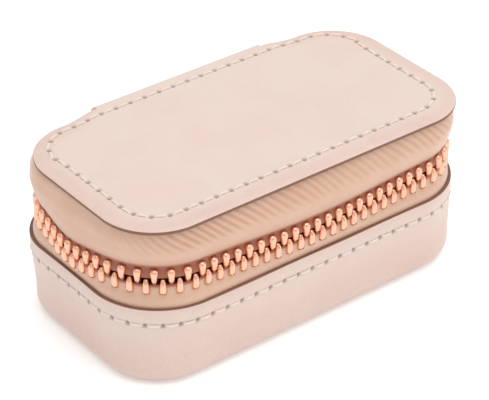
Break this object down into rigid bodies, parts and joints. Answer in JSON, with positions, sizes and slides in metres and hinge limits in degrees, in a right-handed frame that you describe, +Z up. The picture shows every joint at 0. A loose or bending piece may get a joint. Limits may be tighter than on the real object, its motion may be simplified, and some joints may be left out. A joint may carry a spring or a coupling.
{
  "type": "zip-around jewellery case",
  "caption": "Small rounded-corner leather box with a flap-hinged lid, a metal zip round the sides, ring rolls and divided compartments.",
  "frame": {"origin": "centre of the base's plan on the plane it stands on", "axes": "+X along the case's length to the end with the closed zip slider, +Y to the hinge at the back, +Z up"},
  "size_m": [0.0955, 0.051, 0.0394],
  "materials": {
    "shell_leather": "smooth fine-grained leather, satin",
    "board": "grey-brown stiffening board, matte",
    "lining": "microsuede, matte",
    "foam_pad": "microsuede over foam, matte",
    "zip_tape": "satin woven tape",
    "zip_metal": "polished rose gold",
    "thread": "waxed sewing thread",
    "elastic": "woven elastic"
  },
  "bodies": {
    "base": {"base_wall_leather": "shell_leather", "base_bottom_leather": "shell_leather", "base_floor_board": "board", "base_wall_board": "board", "base_floor_pad": "foam_pad", "base_wall_lining": "lining", "ring_roll_1": "foam_pad", "ring_roll_2": "foam_pad", "ring_roll_3": "foam_pad", "ring_roll_4": "foam_pad", "divider_cross": "lining", "divider_lengthwise": "lining", "zip_tape_lower": "zip_tape", "zip_teeth_lower": "zip_metal", "zip_bottom_stop": "zip_metal", "zip_top_stop_lower": "zip_metal", "hinge_flap_lower": "shell_leather", "hinge_lining_lower": "lining", "base_stitching": "thread", "flap_stitching_lower": "thread"},
    "lid": {"lid_leather": "shell_leather", "lid_board": "board", "lid_lining": "lining", "lid_pocket": "lining", "pocket_elastic": "elastic", "zip_tape_upper": "zip_tape", "zip_teeth_upper": "zip_metal", "zip_top_stop_upper": "zip_metal", "hinge_lining_upper": "lining", "lid_stitching": "thread", "flap_stitching_upper": "thread"},
    "slider": {"zip_slider": "zip_metal"},
    "ring": {"pull_ring": "zip_metal"},
    "pull": {"pull_tab": "zip_metal"}
  },
  "joints": [
    {"name": "lid_hinge", "type": "hinge", "parent": "base", "child": "lid", "pos_m": [0, 0.02575, 0.0255], "axis": [-1, 0, 0], "range_deg": [0, 105]},
    {"name": "slider_run", "type": "slide", "parent": "base", "child": "slider", "axis": [0, -1, 0], "range_m": [0, 0.013]},
    {"name": "ring_swing", "type": "hinge", "parent": "slider", "child": "ring", "pos_m": [0.04815, 0.0065, 0.0255], "axis": [0, -1, 0], "range_deg": [0, 170]},
    {"name": "pull_swing", "type": "hinge", "parent": "ring", "child": "pull", "pos_m": [0.04815, 0.0065, 0.02348], "axis": [1, 0, 0], "range_deg": [-80, 80]}
  ]
}
